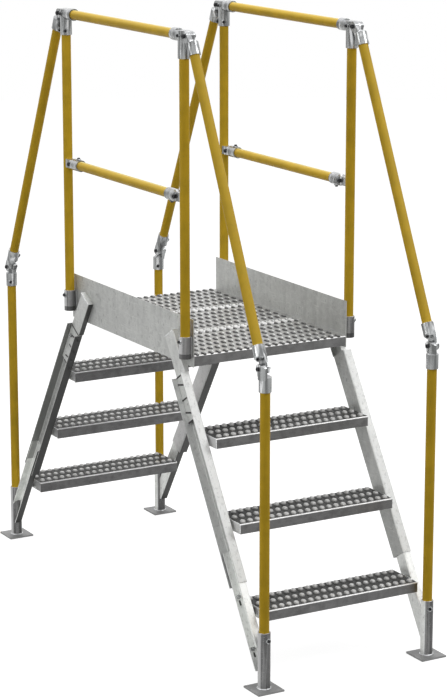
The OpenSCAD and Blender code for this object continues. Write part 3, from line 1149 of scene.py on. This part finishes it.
class PlatformHangerCaps(bpy.types.Operator):
    """Close the upper end of every hanger with a welded plate"""

    bl_idname = "platform.hanger_caps"
    bl_label = "Hanger caps"

    def execute(self, context):
        size = sizes()
        solids = []
        for end, side in QUARTERS:
            out, across = ways(end, side)
            lower, upper = hanger_end(end, side)
            along = (upper - lower).normalized()
            raised = Vector((-out * abs(along.z), 0, abs(along.x))) * size.cap_thickness
            inward = Vector((0, -across * size.cap_width, 0))
            ring = (lower, upper, upper + inward, lower + inward)
            solids.append([[corner + lift for corner in ring] for lift in (-raised * CAP_SUNK, raised)])
        skinned("hanger_caps", hanger_sheet, solids, softened=0.0006)
        return {"FINISHED"}


def step_weld(end, side, name):
    """Line of the bead on one end of a step: along its top edge and down its nosing."""
    out, across = ways(end, side)
    low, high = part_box(f"step_{end}_{name}")
    back, front = (low.x, high.x) if out > 0 else (high.x, low.x)
    back += out * STEP_BEAD_BACK
    nosing = front - out * STEP_BEAD_IN.x
    bend = nosing - out * NOSING_BEND
    y = across * (deck_edge() - STEP_BEAD_IN.y)
    top = high.z - STEP_BEAD_IN.z
    line = ((back, top), (bend, top), (nosing, top - NOSING_BEND), (nosing, top - sizes().lip_depth))
    return [Vector((x, y, z)) for x, z in line], False


class PlatformWelds(bpy.types.Operator):
    """Run weld beads round the sleeves, down the sockets and along the steps and hangers"""

    bl_idname = "platform.welds"
    bl_label = "Welds"

    def execute(self, context):
        size = sizes()
        thick, thin = [], []
        toe_y = deck_edge() + TOE_BEAD_OUT
        toe_z = deck_height() - size.socket_drop
        for end, side in QUARTERS:
            _, across = ways(end, side)
            foot, post = foot_axis(end, side), post_axis(end, side)
            base = foot + risen(size.plate_thickness + BASE_BEAD_RISE)
            thick.append(ring_line(base, size.sleeve_radius + BASE_BEAD_OUT))
            # The thin beads at the sleeve mouths, along the hangers' ends and along the steps' ends are
            # partly weld beads and partly painted highlights.
            for mouth in (foot + risen(size.foot_sleeve), post + risen(size.socket_top)):
                thin.append(ring_line(mouth, size.sleeve_radius - MOUTH_BEAD_IN))
            thin.append((hanger_end(end, side), False))
            for way in (1, -1):
                toe = Vector((post.x + way * size.socket_toe, across * toe_y, toe_z))
                thick.append(([toe, toe + risen(size.socket_height - TOE_BEAD_SHORT)], False))
            thin += [step_weld(end, side, name) for name in STEP_NAMES]
        beads("welds", size.weld_radius, thick)
        beads("end_welds", size.end_weld, thin)
        return {"FINISHED"}


class PlatformStage(bpy.types.Operator):
    """Lay the floor, light the studio and set the camera"""

    bl_idname = "platform.stage"
    bl_label = "Studio"

    def execute(self, context):
        floor_plate()
        studio_world()
        studio_lights()
        studio_camera()
        context.scene.view_settings.view_transform = "Standard"
        return {"FINISHED"}


# --- Studio -----------------------------------------------------------------------------------


def seen_directly(sheet):
    """1 for rays from the camera and for reflections and refractions, 0 for soft light."""
    path = sheet.add("ShaderNodeLightPath")
    labels = ("Is Camera Ray", "Is Glossy Ray", "Is Transmission Ray")
    camera, glossy, clear = [Value(sheet, path.outputs[label]) for label in labels]
    return sheet.maths("MINIMUM", camera + glossy + clear, 1.0)


def floor_plate():
    """Round floor, pale to the eye, whose bounce light is kept low."""
    mesh = bpy.data.meshes.new("studio_floor")
    shape = bmesh.new()
    bmesh.ops.create_circle(shape, cap_ends=True, segments=64, radius=14)
    shape.to_mesh(mesh)
    shape.free()
    floor = bpy.data.objects.new("studio_floor", mesh)
    floor.location.z = -0.0005
    bpy.context.scene.collection.objects.link(floor)
    material = bpy.data.materials.new("studio_floor")
    material.use_nodes = True
    sheet = Sheet(material.node_tree)
    seen = seen_directly(sheet)
    tone = sheet.mix(seen, (0.12, 0.12, 0.12), (0.5, 0.5, 0.5))
    matt = sheet.node("ShaderNodeBsdfDiffuse", None, {"Color": tone})
    glow = sheet.node("ShaderNodeEmission", None, {"Color": (1, 1, 1, 1), "Strength": seen * 0.84})
    both = sheet.node("ShaderNodeAddShader", None, {0: matt, 1: glow})
    sheet.add("ShaderNodeOutputMaterial", None, {"Surface": both})
    mesh.materials.append(material)


def studio_world():
    """White to the eye, with softer light that falls off towards the floor."""
    world = bpy.data.worlds.new("studio")
    bpy.context.scene.world = world
    world.use_nodes = True
    sheet = Sheet(world.node_tree)
    height = sheet.part(sheet.node("ShaderNodeTexCoord", output="Generated"), 2)
    soft = height.clamped(-0.1, 1.0) * 0.28 + 0.20
    strength = soft + seen_directly(sheet) * (1.0 - soft)
    glow = sheet.node("ShaderNodeBackground", None, {"Color": (1, 1, 1, 1), "Strength": strength})
    sheet.add("ShaderNodeOutputWorld", None, {"Surface": glow})


def studio_lights():
    """Soft round lamps that face the middle of the platform."""
    for name, place, power in (
        ("front_lamp", (3.2, 2.65, 4.6), 58),
        ("left_lamp", (0.2, -5.2, 2.6), 42),
        ("fill_lamp", (4.0, -2.75, 3.6), 10),
        ("top_lamp", (-1.6, 0.5, 6.2), 95),
    ):
        lamp = bpy.data.lights.new(name, "AREA")
        lamp.shape = "DISK"
        lamp.size = 2.4
        lamp.energy = power
        holder = bpy.data.objects.new(name, lamp)
        aim = (risen(1) - Vector(place)).to_track_quat("-Z", "Y").to_matrix().to_4x4()
        holder.matrix_world = Matrix.Translation(place) @ aim
        holder.visible_camera = False
        bpy.context.scene.collection.objects.link(holder)


def studio_camera():
    """Camera above head height, to the front left of the near flight."""
    camera = bpy.data.cameras.new("camera")
    camera.sensor_fit = "VERTICAL"
    camera.sensor_height = 36
    camera.lens = 123.40
    holder = bpy.data.objects.new("camera", camera)
    away = Vector((-0.84524, 0.48212, -0.23049)).normalized()
    right = Vector((0.49546, 0.86863, 0)).normalized()
    up = right.cross(away)
    turn = Matrix((right, up, -away)).transposed().to_4x4()
    holder.matrix_world = Matrix.Translation((7.3005, -4.0914, 2.8887)) @ turn
    bpy.context.scene.collection.objects.link(holder)
    bpy.context.scene.camera = holder


# --- Properties, panel and registration -------------------------------------------------------


def length(label, about, default):
    return FloatProperty(name=label, description=about, default=default, min=0.0, unit="LENGTH")


def count(label, about, default):
    return IntProperty(name=label, description=about, default=default, min=2)


def block(label, about, default):
    """A size along the walk, across it and up."""
    return FloatVectorProperty(
        name=label, description=about, default=default, size=3, min=0.0, unit="LENGTH"
    )


def tint(label, about, default):
    return FloatVectorProperty(
        name=label, description=about, default=default, size=3, subtype="COLOR", min=0.0, max=1.0
    )


class PlatformSizes(bpy.types.PropertyGroup):
    sleeve_radius: length("Sleeve radius", "Outside of the sleeves that hold the pipes", 0.0211)
    pivot_ahead: length("Pivot ahead", "Corner fitting's pin ahead of its post", 0.030)
    rail_offset: length("Rail offset", "Sloped rail's axis beside the corner fitting's pin", 0.012)
    elbow_back: length("Elbow back", "Elbow's pin behind the foot post's axis", 0.007)
    elbow_height: length("Elbow height", "Elbow's pin above the floor", 1.079)
    eye_back: length("Eye back", "Mid-rail fitting's pin behind the rail post's axis", 0.0417)
    lug_reach: length("Lug reach", "Outer face of a swivel's lug from the pin's middle", 0.017)
    cheek_reach: length("Cheek reach", "Elbow pin's heads from the pin's middle", 0.0168)
    knuckle_reach: length("Knuckle reach", "Side of a mid-rail knuckle from the rail's axis", 0.0155)
    cheek_drop: length("Cheek drop", "Elbow's lower cheek down into its sleeve", 0.034)
    cheek_rise: length("Cheek rise", "Elbow's upper cheek up into its sleeve", 0.040)
    pin_head_radius: length("Pin head radius", "Head on a swivel's pin", 0.0072)
    pin_head_height: length("Pin head height", "Height of the head on a swivel's pin", 0.0062)
    screw_radius: length("Screw radius", "Set screw's radius", 0.0054)
    screw_proud: length("Screw proud", "Set screw's face above its sleeve", 0.0058)
    screw_boss_height: length("Boss height", "Raised seat round a set screw", 0.0018)
    post_screw_drop: length("Post screw drop", "Corner's post screw below the rail's axis", 0.060)
    swivel_screw_reach: length("Swivel screw reach", "Corner's swivel screw down the rail", 0.052)
    near_screw_rise: length("Near screw rise", "Near elbow's upper screw up the rail from the pin", 0.036)
    far_screw_rise: length("Far screw rise", "Far elbow's upper screw up the rail from the pin", 0.050)
    elbow_screw_drop: length("Elbow screw drop", "Elbow's lower screw below the pin", 0.059)
    socket_screw_rise: length("Socket screw rise", "Deck socket's screw above the deck", 0.048)
    foot_screw_height: length("Foot screw height", "Foot sleeve's screw above the floor", 0.172)
    mid_screw_reach: length("Mid screw reach", "Mid-rail sleeve's screw from the middle", 0.350)
    step_button: block("Step button", "Button of a step", (0.0225, 0.0178, 0.0078))
    deck_button: block("Deck button", "Button of the deck", (0.031, 0.0158, 0.0050))
    # Dots and dimples are small bosses painted white as painted highlights.
    dot: block("Dot", "Bright dot between the deck's buttons", (0.013, 0.008, 0.0035))
    dimple: block("Dimple", "Bright dimple beside a plank's seam", (0.015, 0.019, 0.0065))
    hole: block("Hole", "Punched hole between a step's buttons", (0.011, 0.011, 0.0003))
    sheet_root: length("Button root", "Button's foot below the sheet's face", 0.001)
    button_columns: count("Columns", "Buttons across a step or plank", 21)
    button_pitch: length("Column pitch", "Button to button across the walk", 0.028)
    step_rows: count("Rows on a step", "Rows of buttons on a step", 3)
    step_row_pitch: length("Step row pitch", "Row to row on a step", 0.0555)
    step_first_row: length("First row", "First row of a step behind its nosing", 0.0190)
    deck_rows: count("Rows on a plank", "Rows of buttons on a plank", 6)
    deck_row_pitch: length("Plank row pitch", "Row to row on a plank", 0.056)
    deck_shift: length("Deck shift", "Deck's columns of buttons towards the left", 0.0065)
    dot_back: length("Dot back", "Bright dots behind their row of buttons", 0.012)
    dimple_pitch: length("Dimple pitch", "One side of a plank's seam to the other", 0.019)
    plate_thickness: length("Plate thickness", "Base plate's thickness", 0.006)
    foot_sleeve: length("Foot sleeve", "Mouth of a foot sleeve above the floor", 0.1975)
    foot_clear: length("Foot clear", "Height up to which a foot's channel lies open", 0.350)
    foot_flange: length("Foot flange", "Middle of a foot channel's flanges from the middle", 0.3255)
    channel_middle: length(
        "Channel middle", "Middle line of a flight's channels, square to the slope", 0.84
    )
    step_run: length("Run", "Level distance from one step to the next", 0.1595)
    step_rise: length("Rise", "Height from one step to the next", 0.2535)
    lip_depth: length("Lip depth", "Turned-down edge of a step", 0.034)
    panel_clear: length("Panel clearance", "Sleeves beyond the ends of the planks", 0.0032)
    socket_drop: length("Socket drop", "Deck socket's foot below the deck", 0.010)
    socket_height: length("Socket height", "Deck socket's height", 0.075)
    socket_top: length("Socket top", "Mouth of a deck socket above the floor", 1.0805)
    socket_shade: length("Socket shade", "Shaded foot of a deck socket", 0.017)
    socket_toe: length("Socket toe", "Socket's weld from the post's axis, along the walk", 0.0075)
    bolt_radius: length("Bolt radius", "Hexagonal head's radius over its corners", 0.0075)
    bolt_height: length("Bolt height", "Hexagonal head's height", 0.0060)
    hanger_slot: length("Hanger slot", "Slot across a hanger", 0.060)
    foot_slot: length("Foot slot", "Slot along a foot channel", 0.018)
    slot_width: length("Slot width", "Width of the slots", 0.006)
    slot_shade: length("Slot shade", "Shaded slot above its sheet's face", 0.0008)
    cap_thickness: length("Cap thickness", "Plate on a hanger's upper end", 0.0022)
    cap_width: length("Cap width", "Plate on a hanger's upper end, across the walk", 0.0195)
    weld_radius: length("Weld radius", "Bead round the foot sleeves and sockets", 0.0026)
    end_weld: length("End weld radius", "Bead along the ends of the steps and hangers", 0.0013)


class PlatformColours(bpy.types.PropertyGroup):
    galvanised: tint("Galvanised", "Side panels, stringers, hangers and feet", (0.66, 0.67, 0.65))
    tube: tint("Tube steel", "Sleeves welded to the panels and base plates", (0.20, 0.20, 0.20))
    tread: tint("Tread steel", "Upright faces of deck planks and steps", (0.17, 0.17, 0.17))
    rubbed: tint("Rubbed steel", "Level faces of deck planks and steps", (0.36, 0.36, 0.355))
    # Painted highlight along the bends, partly standing for rubbed wear.
    bend: tint("Rubbed bends", "Bends along the nosings and planks", (0.85, 0.85, 0.85))
    yellow: tint("Yellow paint", "Handrail pipes", (0.77, 0.495, 0.034))
    # Painted light: the brighter orange of the pipes' upward sides and the pale painted highlight along
    # their tops.
    sunlit: tint("Fresh paint", "Sides of the handrail pipes that look upwards", (0.98, 0.68, 0.12))
    painted_top_highlight: tint("Dusty paint", "Upper side of the handrail pipes", (1.0, 0.92, 0.42))
    fitting: tint("Fittings", "Cast fittings on the handrails", (0.33, 0.34, 0.34))
    screw: tint("Screws", "Black set screws and pin heads", (0.012, 0.012, 0.014))
    weld: tint("Welds", "Weld beads", (0.80, 0.81, 0.82))


MAKERS = (
    PlatformFinishes,
    PlatformStepButtons,
    PlatformDeckButtons,
    PlatformSetScrews,
    PlatformPinBolts,
    PlatformSwivelCheeks,
    PlatformBolts,
    PlatformSlots,
    PlatformHangerCaps,
    PlatformWelds,
    PlatformStage,
)


class PlatformPanel(bpy.types.Panel):
    bl_idname = "VIEW3D_PT_platform"
    bl_label = "Crossover platform"
    bl_space_type = "VIEW_3D"
    bl_region_type = "UI"
    bl_category = "Platform"

    def draw(self, context):
        for maker in MAKERS:
            self.layout.operator(maker.bl_idname)


CLASSES = (PlatformSizes, PlatformColours, *MAKERS, PlatformPanel)


def register():
    for kind in CLASSES:
        bpy.utils.register_class(kind)
    bpy.types.Scene.platform_sizes = PointerProperty(type=PlatformSizes)
    bpy.types.Scene.platform_colours = PointerProperty(type=PlatformColours)


def unregister():
    del bpy.types.Scene.platform_colours
    del bpy.types.Scene.platform_sizes
    for kind in reversed(CLASSES):
        bpy.utils.unregister_class(kind)


def main():
    register()
    for maker in MAKERS:
        family, name = maker.bl_idname.split(".")
        getattr(getattr(bpy.ops, family), name)()


if __name__ == "__main__":
    main()
